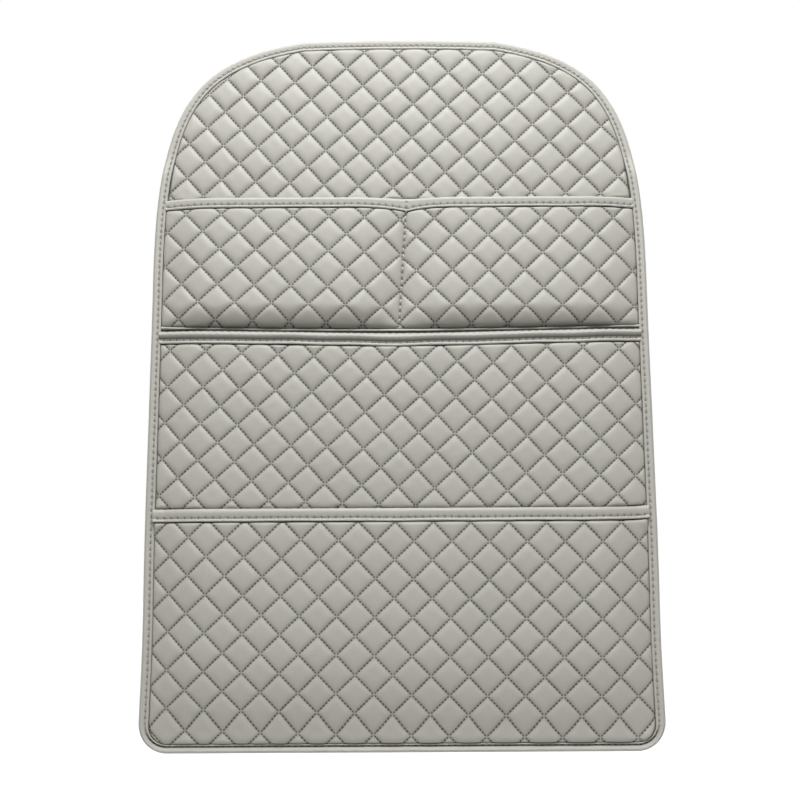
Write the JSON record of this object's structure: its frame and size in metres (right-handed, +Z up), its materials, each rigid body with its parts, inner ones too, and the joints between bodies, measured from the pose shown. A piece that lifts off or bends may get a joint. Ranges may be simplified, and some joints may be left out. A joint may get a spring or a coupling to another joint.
{
  "type": "car seat back organizer",
  "caption": "Quilted faux-leather panel that hangs on a car seat's back, with flat open-topped pockets sewn across its front and a bound, rounded outline.",
  "frame": {"origin": "middle of the upper hook strip's rear face, on the plane that lies against the seat", "axes": "+Z up along the organizer's height, -Y out of its quilted front, +Y into the seat, +X to the viewer's right"},
  "size_m": [0.44, 0.022, 0.632],
  "materials": {
    "quilted_leather": "soft grained faux leather, diamond quilted, satin",
    "binding_leather": "folded and topstitched faux leather, satin",
    "lining_cloth": "plain woven lining, matte",
    "hook_tape": "hook-and-loop tape, matte"
  },
  "bodies": {
    "root": {"rear_lining": "lining_cloth", "back_panel": "quilted_leather", "upper_pocket_panel": "quilted_leather", "middle_pocket_panel": "quilted_leather", "lower_pocket_panel": "quilted_leather", "upper_mouth_binding": "binding_leather", "middle_mouth_binding": "binding_leather", "lower_mouth_binding": "binding_leather", "upper_base_tape": "binding_leather", "edge_binding": "binding_leather", "upper_hook_strip": "hook_tape", "lower_hook_strip": "hook_tape"}
  },
  "joints": []
}
